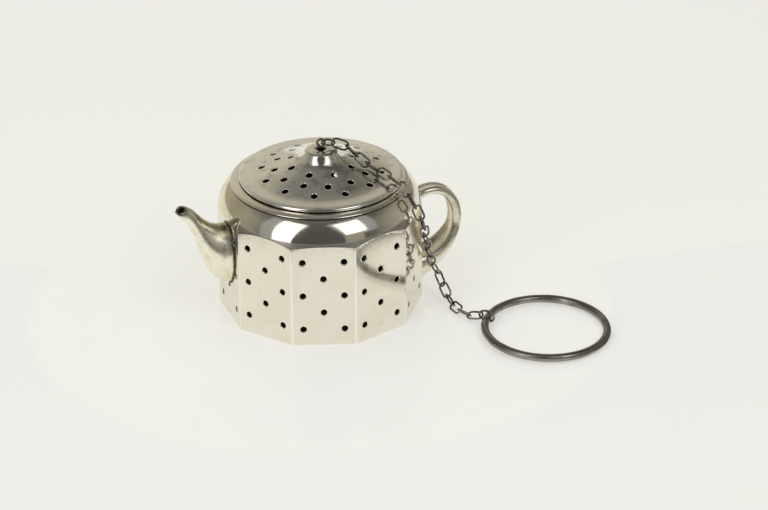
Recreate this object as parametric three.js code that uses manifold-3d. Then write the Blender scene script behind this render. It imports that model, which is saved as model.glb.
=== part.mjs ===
// Teapot-shaped tea infuser in silver: a pierced ten-sided pot with a lift-off lid, a link chain and a ring.
// Millimetres, +Z up. The origin is the middle of the flat base; the spout points to -X, the handle to +X.
import * as THREE from 'three';
import { mergeVertices } from 'three/addons/utils/BufferGeometryUtils.js';
import Module from 'manifold-3d';

const wasm = await Module();
wasm.setup();

// ---- driving dimensions -------------------------------------------------------------------------
const sides = 10;
const cornerRadius = 20;
const sheet = 0.5;                    // thickness of the silver sheet
const seam = 0.25;                    // gap kept between neighbouring pieces
const facePlane = cornerRadius * Math.cos(Math.PI / sides);
const faceWidth = 2 * cornerRadius * Math.sin(Math.PI / sides);

const panelTop = 20.6;                // where the flat panels end at their corners
const panelArch = 0.85;               // how much higher they end in the middle
const shoulderRound = 7;              // radius of the rounded shoulder
const mouthHeight = 26.15;
const neck = { inner: 14.8, outer: 15.2, foot: 24.6, lip: 0.3 };

const holeRadius = 0.6;
const holeRows = { top: 18.0, step: 3.62, count: 5 };
const holeColumn = 4.0;               // distance of the outer columns from the middle of a panel
const raisedPanel = { side: 6, rise: 0.4 };   // the one panel whose holes were punched a little higher

const lidRadius = 16.1;
const lidRim = 26.95;                 // underside of the lid's rolled rim
const lidTurn = 3.5;                  // degrees that the lid sits turned on the pot
const lidShift = new THREE.Vector3(0.5, 0.12, 0);   // it sits pushed over in its play
const lidHoleRings = [
  { count: 8, radius: 6.3, start: 0 },
  { count: 12, radius: 9.2, start: 15 },
  { count: 12, radius: 11.7, start: 0 },
];
const skirt = { inner: 13.6, outer: 14.0, foot: 24.4, top: 27.1 };
const knob = { bore: 0.6, radius: 3.1, top: 32.9 };
const eye = { height: 34.2, radius: 0.72, azimuth: -15, shank: 0.3 };

const linkWire = 0.45;
const linkCount = 22;
const linkWidth = 2.2;
const linkPlay = 0.12;                // clearance between the wires of two neighbouring links
const eyeRingOuter = 1.5;
const eyeRingDroop = 0.06;            // fall of the eye ring for each unit of reach
const jump = { wire: 0.5, outer: 1.75, lean: 20, azimuth: 139.7, pull: -10 };   // angles in degrees
const ringWire = 1.6;
const ringRadius = 11.86;             // to the middle of the wire
const ringCentre = new THREE.Vector3(35.8, -29.3, 0);
const past = 2;                       // how far a cutting tool runs on beyond what it cuts

// ---- materials ----------------------------------------------------------------------------------
const silver = (color, roughness) => new THREE.MeshStandardMaterial({ color, roughness, metalness: 1 });
const polished = silver(0xd9d6cc, 0.15);
const warm = silver(0xd2ca9f, 0.25);
const tarnished = silver(0xb0aaa8, 0.28);
const oxidised = silver(0x77706a, 0.4);

// ---- solids -------------------------------------------------------------------------------------
const radians = (degrees) => THREE.MathUtils.degToRad(degrees);

function toSolid(geometry) {
  const bare = geometry.clone();
  bare.deleteAttribute('normal');
  bare.deleteAttribute('uv');
  const merged = mergeVertices(bare, 1e-5);
  return new wasm.Manifold(new wasm.Mesh({
    numProp: 3,
    vertProperties: new Float32Array(merged.attributes.position.array),
    triVerts: new Uint32Array(merged.index.array),
  }));
}

function toGeometry(solid) {
  const mesh = solid.getMesh();
  const geometry = new THREE.BufferGeometry();
  geometry.setAttribute('position', new THREE.BufferAttribute(mesh.vertProperties, 3));
  geometry.setIndex(new THREE.BufferAttribute(mesh.triVerts, 1));
  return geometry;
}

// A closed profile of [radius, height] points turned about Z.
function turned(profile, segments) {
  const points = profile.map(([radius, height]) => new THREE.Vector2(radius, height));
  return new THREE.LatheGeometry(points, segments).rotateX(Math.PI / 2);
}

// An upright prism with the panels' directions: the first panel faces +X.
function sidedPrism(planeDistance, low, high) {
  const outline = new THREE.Shape();
  const radius = planeDistance / Math.cos(Math.PI / sides);
  for (let corner = 0; corner < sides; corner += 1) {
    const angle = (2 * Math.PI * (corner + 0.5)) / sides;
    const place = [radius * Math.cos(angle), radius * Math.sin(angle)];
    if (corner === 0) outline.moveTo(...place);
    else outline.lineTo(...place);
  }
  return new THREE.ExtrudeGeometry(outline, { depth: high - low, bevelEnabled: false }).translate(0, 0, low);
}

// Rings of points with equal counts become a closed skin with flat ends.
function lofted(rings) {
  const count = rings[0].length;
  const positions = rings.flat().flatMap((point) => [point.x, point.y, point.z]);
  const index = [];
  for (let ring = 0; ring + 1 < rings.length; ring += 1) {
    for (let step = 0; step < count; step += 1) {
      const a = ring * count + step;
      const b = ring * count + ((step + 1) % count);
      index.push(a, b, b + count, a, b + count, a + count);
    }
  }
  const last = (rings.length - 1) * count;
  for (let step = 1; step + 1 < count; step += 1) {
    index.push(0, step + 1, step);
    index.push(last, last + step, last + step + 1);
  }
  const geometry = new THREE.BufferGeometry();
  geometry.setAttribute('position', new THREE.Float32BufferAttribute(positions, 3));
  geometry.setIndex(index);
  return geometry;
}

// A pin of a few flat sides along a direction, for cutting round holes.
function drill(radius, length, position, direction, flats = 6) {
  const pin = new THREE.CylinderGeometry(radius, radius, length, flats);
  const turn = new THREE.Quaternion().setFromUnitVectors(new THREE.Vector3(0, 1, 0), direction);
  return toSolid(pin.applyQuaternion(turn).translate(position.x, position.y, position.z));
}

const group = new THREE.Group();
function add(name, geometry, material) {
  const mesh = new THREE.Mesh(geometry, material);
  mesh.name = name;
  group.add(mesh);
  return mesh;
}

// ---- pot ----------------------------------------------------------------------------------------
// Radius of the round shoulder at a height, for its outside or, set in by the sheet, its inside.
function shoulderProfile(inset, low, high) {
  const round = shoulderRound - inset;
  const profile = [[0, low], [cornerRadius - inset, low], [cornerRadius - inset, panelTop]];
  const steps = 6;
  const sweep = Math.asin((high - panelTop) / round);
  for (let step = 1; step <= steps; step += 1) {
    const angle = (sweep * step) / steps;
    const radius = cornerRadius - shoulderRound + round * Math.cos(angle);
    profile.push([radius, panelTop + round * Math.sin(angle)]);
  }
  profile.push([0, high]);
  return profile;
}

// The slab that presses one flat panel, with its arched top, into the round pot.
function panelPress(angle) {
  const half = faceWidth / 2;
  const spread = 0.6;                 // the slab is this much wider than the panel at each side
  const archRadius = (half * half + panelArch * panelArch) / (2 * panelArch);
  const outline = new THREE.Shape();
  outline.moveTo(-half - spread, -past);
  outline.lineTo(half + spread, -past);
  const steps = 8;
  for (let step = 0; step <= steps; step += 1) {
    const across = (half + spread) * (1 - (2 * step) / steps);
    const drop = archRadius - Math.sqrt(archRadius * archRadius - across * across);
    outline.lineTo(across, panelTop + panelArch - drop);
  }
  const slab = new THREE.ExtrudeGeometry(outline, { depth: 3, bevelEnabled: false });
  return toSolid(slab.rotateX(Math.PI / 2).rotateZ(Math.PI / 2).translate(facePlane, 0, 0).rotateZ(angle));
}

function panelHoles(angle, rise) {
  const out = new THREE.Vector3(Math.cos(angle), Math.sin(angle), 0);
  const along = new THREE.Vector3(-out.y, out.x, 0);
  const holes = [];
  for (let row = 0; row < holeRows.count; row += 1) {
    const columns = row % 2 === 0 ? [-holeColumn, holeColumn] : [0];
    for (const column of columns) {
      const place = out.clone().multiplyScalar(facePlane).addScaledVector(along, column);
      place.z = holeRows.top - holeRows.step * row + rise;
      holes.push(drill(holeRadius, 2 * past, place, out));
    }
  }
  return holes;
}

const panelAngles = Array.from({ length: sides }, (_, side) => (2 * Math.PI * side) / sides);
const inside = facePlane - sheet;

function buildBody() {
  const round = toSolid(turned(shoulderProfile(0, 0, mouthHeight), 40));
  const hollow = toSolid(turned(shoulderProfile(sheet, -past, mouthHeight + 0.1), 40))
    .intersect(toSolid(sidedPrism(inside, -past, mouthHeight + past)));
  const cuts = panelAngles.flatMap((angle, side) => [
    panelPress(angle), ...panelHoles(angle, side === raisedPanel.side ? raisedPanel.rise : 0),
  ]);
  return cuts.reduce((body, cut) => body.subtract(cut), round.subtract(hollow));
}

function buildBase() {
  return sidedPrism(inside - seam, 0, sheet);
}

function buildNeck() {
  const lip = mouthHeight + 0.2;
  const reach = Math.sqrt(shoulderRound ** 2 - (mouthHeight - panelTop) ** 2);
  const rim = cornerRadius - shoulderRound + reach + 0.1;
  const profile = [
    [neck.inner, neck.foot], [neck.outer, neck.foot], [neck.outer, lip], [rim, lip],
    [rim, lip + neck.lip], [neck.inner, lip + neck.lip], [neck.inner, neck.foot],
  ];
  return turned(profile, 40);
}

// ---- spout and handle ---------------------------------------------------------------------------
// Each stop along the spout: its lower and upper edge in the XZ plane and its half width.
const spoutStops = [
  { low: [-19.27, 7.9], high: [-19.27, 20.5], half: 3.95 },
  { low: [-21.4, 8.9], high: [-20.6, 20.5], half: 3.9 },
  { low: [-23.4, 11.3], high: [-22.2, 21.0], half: 3.55 },
  { low: [-24.7, 14.4], high: [-23.7, 22.1], half: 3.0 },
  { low: [-25.6, 17.9], high: [-24.9, 23.4], half: 2.4 },
  { low: [-27.0, 21.2], high: [-26.0, 24.6], half: 1.9 },
  { low: [-29.4, 24.3], high: [-27.3, 25.4], half: 1.65 },
];

function spoutRing(stop, inset, flats) {
  const low = new THREE.Vector3(stop.low[0], 0, stop.low[1]);
  const high = new THREE.Vector3(stop.high[0], 0, stop.high[1]);
  const middle = low.clone().add(high).multiplyScalar(0.5);
  const up = high.clone().sub(middle);
  up.setLength(up.length() - inset);
  const wide = stop.half - inset;
  return Array.from({ length: flats }, (_, step) => {
    const angle = (2 * Math.PI * step) / flats;
    return middle.clone().addScaledVector(up, Math.cos(angle)).setY(wide * Math.sin(angle));
  });
}

// The hollow runs on past both ends of the outer skin, so the spout is open at the pot and at the lip.
function buildSpout() {
  const flats = 16;
  const wall = 0.45;
  const beyond = (stop, next, share) => ({
    low: stop.low.map((value, axis) => value + (value - next.low[axis]) * share),
    high: stop.high.map((value, axis) => value + (value - next.high[axis]) * share),
    half: stop.half,
  });
  const first = beyond(spoutStops[0], spoutStops[1], 0.3);
  const last = beyond(spoutStops.at(-1), spoutStops.at(-2), 0.2);
  const skin = toSolid(lofted(spoutStops.map((stop) => spoutRing(stop, 0, flats))));
  const bore = toSolid(lofted([first, ...spoutStops, last].map((stop) => spoutRing(stop, wall, flats))));
  return skin.subtract(bore);
}

// The handle is a C seen from the side, cut to its width by an outline seen from the end.
function buildHandle() {
  const root = facePlane + seam;
  const plane = (points) => points.map((point) => new THREE.Vector2(...point));
  const bow = new THREE.Shape();
  bow.moveTo(root, 18.2);
  bow.splineThru(plane([
    [21.0, 19.0], [23.2, 19.4], [25.2, 18.7], [26.6, 16.8], [27.2, 14.0],
    [26.9, 11.4], [25.6, 9.4], [23.4, 7.9], [21.2, 7.2], [root, 7.0],
  ]));
  bow.lineTo(root, 1.5);
  bow.splineThru(plane([
    [20.6, 2.1], [23.2, 3.8], [25.9, 6.2], [28.2, 9.3], [29.4, 13.0], [29.0, 16.8],
    [27.2, 19.5], [24.8, 20.8], [22.2, 20.9], [20.2, 20.3], [root, 19.7],
  ]));
  bow.closePath();
  const side = new THREE.ExtrudeGeometry(bow, { depth: 8, bevelEnabled: false, curveSegments: 2 });
  const width = new THREE.Shape(plane([
    [1.7, 22], [1.7, 15], [1.9, 12.5], [2.9, 9], [3.3, 7], [3.4, 0],
    [-3.4, 0], [-3.3, 7], [-2.9, 9], [-1.9, 12.5], [-1.7, 15], [-1.7, 22],
  ]));
  const end = new THREE.ExtrudeGeometry(width, { depth: 20, bevelEnabled: false });
  const upright = toSolid(side.rotateX(Math.PI / 2).translate(0, 4, 0));
  return upright.intersect(toSolid(end.rotateX(Math.PI / 2).rotateZ(Math.PI / 2).translate(15, 0, 0)));
}

// ---- lid ----------------------------------------------------------------------------------------
function buildLid() {
  const top = [
    [lidRadius, 27.6], [15.7, 27.8], [13.4, 28.0], [11.7, 28.35], [9.2, 29.15], [6.3, 30.05], [4.4, 30.75],
  ];
  const throat = 1.2;
  const profile = [[lidRadius, lidRim], ...top, [throat, 30.9], [throat, 30.4]];
  for (const [radius, height] of top.slice(2).reverse()) profile.push([radius - 0.12, height - sheet]);
  profile.push([15.4, 27.3], [15.5, lidRim], [lidRadius, lidRim]);
  const holes = [];
  for (const { count, radius, start } of lidHoleRings) {
    for (let step = 0; step < count; step += 1) {
      const angle = radians(start + lidTurn + (360 * step) / count);
      const place = new THREE.Vector3(radius * Math.cos(angle), radius * Math.sin(angle), 29);
      holes.push(drill(holeRadius, 3 * past, place, new THREE.Vector3(0, 0, 1)));
    }
  }
  return holes.reduce((lid, hole) => lid.subtract(hole), toSolid(turned(profile, 40)));
}

// The friction ring below the lid, which holds it in the pot's neck.
function buildSkirt() {
  const { inner, outer, foot, top } = skirt;
  return turned([[inner, foot], [outer, foot], [outer, top], [inner, top], [inner, foot]], 40);
}

function buildKnob() {
  const profile = [
    [knob.bore, 31.15], [4.7, 30.95], [4.1, 31.35], [3.65, 31.9], [knob.radius + 0.25, 32.4],
    [knob.radius, 32.7], [knob.radius - 0.35, knob.top], [knob.bore, knob.top], [knob.bore, 31.15],
  ];
  return turned(profile, 24);
}

// The eye's loop stands on a shank that runs down through the knob and the lid.
function buildEye() {
  const length = 3.3;
  const loop = new THREE.TorusGeometry(eye.radius, linkWire / 2, 8, 16).rotateX(Math.PI / 2);
  const shank = new THREE.CylinderGeometry(eye.shank, eye.shank, length, 8).rotateX(Math.PI / 2);
  const solid = toSolid(loop).add(toSolid(shank.translate(0, 0, 0.05 - eye.radius - length / 2)));
  return toGeometry(solid).rotateZ(radians(eye.azimuth)).translate(0, 0, eye.height);
}

// ---- chain --------------------------------------------------------------------------------------
// An oval of wire along X with its face to Z, made from a torus whose halves are drawn apart.
function wireOval(width, length, wire, around = 10, across = 5) {
  const radius = (width - wire) / 2;
  const stretch = (length - width) / 2;
  const oval = new THREE.TorusGeometry(radius, wire / 2, across, around).rotateZ(Math.PI / around);
  const position = oval.attributes.position;
  for (let vertex = 0; vertex < position.count; vertex += 1) {
    const x = position.getX(vertex);
    position.setX(vertex, x + Math.sign(x) * stretch);
  }
  return oval;
}

// The eye ring lies over the knob, hooked into the loop of the eye.
const eyeOut = new THREE.Vector3(Math.cos(radians(eye.azimuth)), Math.sin(radians(eye.azimuth)), 0);
const eyePin = eyeOut.clone()
  .multiplyScalar(eye.radius - (linkWire + linkPlay) / 2).setZ(eye.height).add(lidShift);
const eyeRingLean = eyeOut.clone().setZ(-eyeRingDroop).normalize();
const eyeRingReach = eyeRingOuter - linkWire - linkPlay / 2;
const firstPin = eyePin.clone().addScaledVector(eyeRingLean, 2 * eyeRingReach);

// The jump ring stands on the table round the wire of the big ring, which it lifts on that side.
const jumpLean = radians(jump.lean);
const jumpAzimuth = radians(jump.azimuth);
const jumpOut = new THREE.Vector3(Math.cos(jumpAzimuth), Math.sin(jumpAzimuth), 0);
const jumpUp = new THREE.Vector3(Math.sin(jumpAzimuth), -Math.cos(jumpAzimuth), 0)
  .multiplyScalar(-Math.sin(jumpLean)).setZ(Math.cos(jumpLean));
const jumpSlack = jump.outer - jump.wire - ringWire / 2 - linkPlay;
const jumpHeight = (jump.outer - jump.wire / 2) * Math.cos(jumpLean) + jump.wire / 2 + 0.02;
const ringLift = jumpHeight - jumpSlack * Math.SQRT1_2 * Math.cos(jumpLean) - ringWire / 2;
const ringTilt = Math.asin(ringLift / (2 * ringRadius));
const ringHook = ringCentre.clone().addScaledVector(jumpOut, ringRadius * Math.cos(ringTilt));
ringHook.z = ringWire / 2 + ringLift;
const jumpCentre = ringHook.clone()
  .addScaledVector(jumpUp, jumpSlack * Math.SQRT1_2).addScaledVector(jumpOut, jumpSlack * Math.SQRT1_2);
const jumpPull = radians(jump.pull);
const lastPin = jumpCentre.clone()
  .addScaledVector(jumpOut, (jump.outer - jump.wire - linkPlay / 2) * Math.cos(jumpPull))
  .addScaledVector(jumpUp, (jump.outer - jump.wire - linkPlay / 2) * Math.sin(jumpPull));

// The middle line of the chain, from the eye over the lid's rim, down beside the handle and out to the ring.
const chainRoute = new THREE.CatmullRomCurve3([
  firstPin, ...[
    [5.2, -1.6, 33.4], [7.0, -3.0, 31.3], [8.4, -4.9, 30.2], [10.0, -7.4, 29.5], [11.5, -10.1, 29.0],
    [12.9, -12.4, 27.9], [14.0, -14.1, 25.4], [15.5, -14.9, 21.9], [16.7, -13.6, 18.2],
    [17.9, -11.3, 14.4], [19.3, -9.3, 10.8], [20.7, -8.0, 7.4], [22.0, -7.6, 4.6], [22.6, -9.0, 2.4],
    [22.6, -11.8, 1.2], [22.7, -14.5, 0.9], [23.3, -17.2, 0.95], [24.4, -19.2, 1.05],
  ].map((point) => new THREE.Vector3(...point)), lastPin,
]);

// Pins along the route at equal straight distances. The distance is tuned until the last pin is the end.
const routeSamples = chainRoute.getPoints(6000);
function pinsAt(pitch) {
  const places = [routeSamples[0]];
  for (const point of routeSamples) {
    if (point.distanceTo(places.at(-1)) >= pitch && places.length <= linkCount) places.push(point);
  }
  return places;
}
function tunedPitch() {
  let [short, long] = [2, 4];
  for (let turn = 0; turn < 40; turn += 1) {
    const middle = (short + long) / 2;
    const reached = pinsAt(middle).length === linkCount + 1;
    if (reached) short = middle;
    else long = middle;
  }
  return short;
}
const linkPitch = tunedPitch();
const pins = [...pinsAt(linkPitch).slice(0, -1), lastPin];
const linkLength = linkPitch + 2 * linkWire + linkPlay;

// Turns a piece made along +X with its face to +Z so that it spans two pins, rolled about its length.
function spanPins(mesh, from, to, roll) {
  const along = to.clone().sub(from).normalize();
  const middle = from.clone().add(to).multiplyScalar(0.5);
  const low = 1 - THREE.MathUtils.smoothstep(middle.z, 1, 5);
  const high = THREE.MathUtils.smoothstep(middle.z, 25, 30);
  const sideways = new THREE.Vector3(0, 0, 1).cross(along).normalize();
  const outward = middle.clone().setZ(0).normalize().multiplyScalar((1 - low) * (1 - high))
    .addScaledVector(sideways, low).setZ(high);
  const across = outward.clone().cross(along).normalize();
  const face = along.clone().cross(across);
  mesh.setRotationFromMatrix(new THREE.Matrix4().makeBasis(along, across, face));
  mesh.rotateX(radians(roll));
  mesh.position.copy(middle);
}

// ---- assembly -----------------------------------------------------------------------------------
add('body_shell', toGeometry(buildBody()), polished);
add('base_plate', buildBase(), polished);
add('neck_ring', buildNeck(), polished);
add('spout', toGeometry(buildSpout()), warm);
add('handle', toGeometry(buildHandle()), warm);
add('lid', toGeometry(buildLid()), tarnished).position.copy(lidShift);
add('lid_skirt', buildSkirt(), polished).position.copy(lidShift);
add('lid_knob', buildKnob(), polished).position.copy(lidShift);
add('knob_eye', buildEye(), oxidised).position.copy(lidShift);

const eyeRing = add('eye_ring', wireOval(2 * eyeRingOuter, 2 * eyeRingOuter, linkWire, 12), oxidised);
spanPins(eyeRing, eyePin, firstPin, 0);

// Neighbouring links lean to opposite sides; those next to the two rings turn to suit them.
const endRolls = { 1: 60, 2: -38, 22: -65 };
pins.slice(1).forEach((pin, link) => {
  const name = `chain_link_${String(link + 1).padStart(2, '0')}`;
  const mesh = add(name, wireOval(linkWidth, linkLength, linkWire), oxidised);
  spanPins(mesh, pins[link], pin, endRolls[link + 1] ?? (link % 2 === 0 ? 45 : -45));
});

const jumpRing = add('ring_jump', wireOval(2 * jump.outer, 2 * jump.outer, jump.wire, 12), oxidised);
jumpRing.setRotationFromMatrix(new THREE.Matrix4().makeBasis(jumpOut, jumpUp, jumpOut.clone().cross(jumpUp)));
jumpRing.position.copy(jumpCentre);

const hangRing = add('hang_ring', new THREE.TorusGeometry(ringRadius, ringWire / 2, 8, 36), oxidised);
const tiltAxis = new THREE.Vector3(-jumpOut.y, jumpOut.x, 0);
hangRing.quaternion.setFromAxisAngle(tiltAxis, -ringTilt);
hangRing.position.copy(ringCentre).setZ(ringWire / 2 + ringLift / 2);

export default group;
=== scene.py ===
"""Looks of a teapot-shaped tea infuser in silver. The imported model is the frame: every piece here
stands for one of its nodes, at the same size and place, with finer surfaces and procedural finishes."""

import math

import bmesh
import bpy
import numpy as np
from mathutils import Matrix, Vector
from mathutils.geometry import delaunay_2d_cdt

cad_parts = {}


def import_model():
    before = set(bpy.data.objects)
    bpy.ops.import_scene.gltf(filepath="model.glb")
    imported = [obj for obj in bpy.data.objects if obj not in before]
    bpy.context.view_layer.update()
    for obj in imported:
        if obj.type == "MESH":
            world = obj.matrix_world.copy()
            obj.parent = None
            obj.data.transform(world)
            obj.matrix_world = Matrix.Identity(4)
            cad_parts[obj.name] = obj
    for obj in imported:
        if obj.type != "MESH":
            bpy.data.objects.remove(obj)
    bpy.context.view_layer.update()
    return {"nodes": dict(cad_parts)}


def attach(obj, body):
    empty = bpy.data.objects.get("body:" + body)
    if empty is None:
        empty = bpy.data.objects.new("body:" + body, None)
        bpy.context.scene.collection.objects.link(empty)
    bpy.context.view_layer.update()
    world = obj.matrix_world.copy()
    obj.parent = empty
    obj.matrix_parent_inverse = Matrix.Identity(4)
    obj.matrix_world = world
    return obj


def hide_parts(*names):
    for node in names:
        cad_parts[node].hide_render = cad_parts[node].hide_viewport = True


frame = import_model()

# ---- driving dimensions, in millimetres ---------------------------------------------------------
MM = 0.001
SIDES = 10
CORNER_RADIUS = 20.0
SHEET = 0.5
FACE_PLANE = CORNER_RADIUS * math.cos(math.pi / SIDES)
HALF_FACE = CORNER_RADIUS * math.sin(math.pi / SIDES)
CORNER_ROUND = 0.5
RIM_ROUND = SHEET / 2

PANEL_TOP = 20.6
PANEL_ARCHES = [1.2] * 6 + [1.45, 0.85, 1.35, 1.2]       # rise of each panel's arched top
STEP_HALF = 0.15              # half the height of the small step from the panels to the shoulder
SHOULDER_ROUND = 7.0
MOUTH_HEIGHT = 26.15

HOLE_RADIUS = 0.6
HOLE_EDGE = 0.16              # rounding of a hole's outer edge
HOLE_POINTS = 28              # points round each hole
HOLE_ROWS = [18.0 - 3.62 * row for row in range(5)]
HOLE_COLUMN = 4.0
RAISED_SIDE, RAISED_BY = 6, 0.4      # the one panel whose holes sit a little higher

LID_RADIUS = 16.1
LID_TURN = 3.5
LID_SHIFT = (0.5, 0.12, 0)    # the lid sits pushed over in its play
LID_HOLE = 0.67               # the lid's holes look a little wider than they were punched
LID_HOLE_RINGS = [(8, 6.3, 0), (12, 9.2, 15), (12, 11.7, 0)]    # count, radius and first angle
EYE_HEIGHT = 34.2
EYE_RADIUS = 0.72
EYE_TURN = -15

LINK_WIRE = 0.45
LINK_THINNING = 0.03          # worn off the wire's radius, which leaves the links free to turn
LINK_WIDTH = 2.2
LINK_LENGTH = 3.75
LINK_POINTS = 52
LOOP_POINTS = 72
EYE_RING_OUTER = 1.5
JUMP_WIRE = 0.5
JUMP_OUTER = 1.75
RING_WIRE = 1.6
RING_RADIUS = 11.86
RING_POINTS = 300

# ---- camera: the first view ---------------------------------------------------------------------
VIEW_AZIMUTH = -20.43
VIEW_ELEVATION = 27.54
VIEW_ROLL = -0.54
VIEW_DISTANCE = 785
VIEW_TARGET = Vector((13.17, -0.33, 7.38))
LENS = 186.05


def direction(azimuth, elevation):
    """Unit vector from the object towards azimuth (0 is -Y, 90 is +X) and elevation, in degrees."""
    a, e = math.radians(azimuth), math.radians(elevation)
    return Vector((math.sin(a) * math.cos(e), -math.cos(a) * math.cos(e), math.sin(e)))


def put_in_scene(name, data):
    thing = bpy.data.objects.new(name, data)
    bpy.context.scene.collection.objects.link(thing)
    return thing


def make_camera():
    data = bpy.data.cameras.new("camera")
    data.lens = LENS
    camera = put_in_scene("camera", data)
    back = direction(VIEW_AZIMUTH, VIEW_ELEVATION)
    camera.location = (VIEW_TARGET + back * VIEW_DISTANCE) * MM
    roll = Matrix.Rotation(math.radians(VIEW_ROLL), 3, "Z")
    camera.rotation_euler = ((-back).to_track_quat("-Z", "Y").to_matrix() @ roll).to_euler()
    bpy.context.scene.camera = camera


make_camera()


# ---- procedural finishes ------------------------------------------------------------------------
class Finish:
    """A small helper that wires a metal's node tree, in object coordinates at rest."""

    def __init__(self, name):
        self.material = bpy.data.materials.new(name)
        self.material.use_nodes = True
        self.tree = self.material.node_tree
        self.shader = self.tree.nodes["Principled BSDF"]
        self.shader.inputs["Metallic"].default_value = 1.0
        self.place = self.add("ShaderNodeTexCoord").outputs["Object"]

    def add(self, kind, **settings):
        node = self.tree.nodes.new(kind)
        for key, value in settings.items():
            setattr(node, key, value)
        return node

    def feed(self, socket, value):
        if isinstance(value, bpy.types.NodeSocket):
            self.tree.links.new(value, socket)
        else:
            socket.default_value = value

    def noise(self, size, detail=3.0, stretch=(1, 1, 1), turn=(0, 0, 0), rough=0.5, twist=0.0):
        """Noise from 0 to 1 with blots of about that many millimetres."""
        mapping = self.add("ShaderNodeMapping")
        self.feed(mapping.inputs["Vector"], self.place)
        mapping.inputs["Rotation"].default_value = [math.radians(t) for t in turn]
        mapping.inputs["Scale"].default_value = [s / (size * MM) for s in stretch]
        noise = self.add("ShaderNodeTexNoise")
        self.feed(noise.inputs["Vector"], mapping.outputs["Vector"])
        noise.inputs["Scale"].default_value = 1.0
        noise.inputs["Detail"].default_value = detail
        noise.inputs["Roughness"].default_value = rough
        noise.inputs["Distortion"].default_value = twist
        return noise.outputs["Fac"]

    def ramp(self, value, low, high, to_low=0.0, to_high=1.0):
        """Maps low..high of a value to to_low..to_high, clamped, with soft ends."""
        node = self.add("ShaderNodeMapRange", interpolation_type="SMOOTHSTEP")
        ends = {"From Min": low, "From Max": high, "To Min": to_low, "To Max": to_high}
        for key, number in ends.items():
            node.inputs[key].default_value = number
        self.feed(node.inputs["Value"], value)
        return node.outputs["Result"]

    def math(self, operation, a, b):
        node = self.add("ShaderNodeMath", operation=operation)
        self.feed(node.inputs[0], a)
        self.feed(node.inputs[1], b)
        return node.outputs["Value"]

    def mix(self, share, a, b):
        node = self.add("ShaderNodeMix", data_type="RGBA")
        self.feed(node.inputs["Factor"], share)
        for socket, colour in (("A", a), ("B", b)):
            fixed = not isinstance(colour, bpy.types.NodeSocket)
            self.feed(node.inputs[socket], (*colour, 1) if fixed else colour)
        return node.outputs["Result"]

    def scratches(self, turns, gap=0.22, length=9.0):
        """Fine hairlines in a few directions, each from 0 to 1 on the line."""
        total = None
        for turn in turns:
            lines = self.noise(gap, detail=2, stretch=(1, gap / length, 1), turn=turn, twist=0.15)
            hair = self.ramp(lines, 0.63, 0.70)
            total = hair if total is None else self.math("MAXIMUM", total, hair)
        return total

    def bump(self, height, depth, under=None):
        """Raises the surface by up to that many micrometres where the height is 1."""
        node = self.add("ShaderNodeBump")
        node.inputs["Strength"].default_value = 1.0
        node.inputs["Distance"].default_value = depth * 1e-6
        self.feed(node.inputs["Height"], height)
        if under is not None:
            self.feed(node.inputs["Normal"], under)
        return node.outputs["Normal"]

    def measure(self, name):
        """A measure from 0 to 1 that the mesh carries for each place."""
        return self.add("ShaderNodeAttribute", attribute_name=name).outputs["Fac"]


def silver(name, clean, warm, dull, black, rough, wave, patch=(0.52, 0.72), pit=0.0, brushed=0.0):
    """Old silver: clean metal with warm blotches and dull patches, a yellow tint, lighter metal for wear
    and painted highlight, black for painted shade in its recesses and for dark seams, and hairlines over
    all. Patch says where on the noise's scale the dull patches start and are full;
    wave, pit and brushed are heights of bumps in micrometres."""
    finish = Finish(name)
    cloud = finish.noise(9, detail=4, twist=0.6)
    spots = finish.noise(2.6, detail=5, rough=0.62, turn=(20, 35, 10))
    speck = finish.noise(0.35, detail=3)
    hair = finish.scratches([(0, 0, 18), (0, 90, -35), (90, 12, 60)])

    colour = finish.mix(finish.ramp(cloud, 0.35, 0.68), clean, warm)
    colour = finish.mix(finish.ramp(spots, *patch, 0.0, 0.85), colour, dull)
    colour = finish.mix(finish.math("MULTIPLY", hair, 0.18), colour, clean)
    # Yellow and olive tint. On the handle's inner side it is painted dark reflection.
    gilt = finish.math("MULTIPLY", finish.measure("gilt"), finish.ramp(spots, 0.3, 0.6, 0.35, 1.0))
    colour = finish.mix(gilt, colour, finish.mix(finish.ramp(cloud, 0.4, 0.6), YELLOW_TINT_COLOUR, OLIVE))
    # Lighter metal for burnished wear, and on the lid for painted highlight on the hole and rim edges.
    colour = finish.mix(finish.measure("worn"), colour, WEAR_HIGHLIGHT_COLOUR)
    grain = finish.ramp(speck, 0.3, 0.7, -0.12, 0.12)
    # Painted shade, and dark seams: black where the mesh's shade-and-grime measure is high.
    dark = finish.ramp(finish.math("ADD", finish.measure("soot"), grain), 0.15, 0.9)
    colour = finish.mix(dark, colour, black)
    finish.feed(finish.shader.inputs["Base Color"], colour)

    gloss = finish.ramp(spots, 0.35, 0.75, rough, rough * 1.9)
    gloss = finish.math("ADD", gloss, finish.math("MULTIPLY", hair, 0.10))
    gloss = finish.math("ADD", gloss, finish.math("MULTIPLY", dark, 0.30))
    finish.feed(finish.shader.inputs["Roughness"], gloss)

    normal = finish.bump(finish.noise(7, detail=2), wave)
    normal = finish.bump(finish.noise(1.3, detail=3), wave * 0.05, normal)
    normal = finish.bump(hair, -0.6, normal)
    if brushed:
        normal = finish.bump(finish.noise(0.3, detail=3, stretch=(0.03, 0.03, 1)), brushed, normal)
    if pit:
        normal = finish.bump(finish.noise(0.22, detail=4, rough=0.7), pit, normal)
    finish.feed(finish.shader.inputs["Normal"], normal)
    return finish.material


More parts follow.
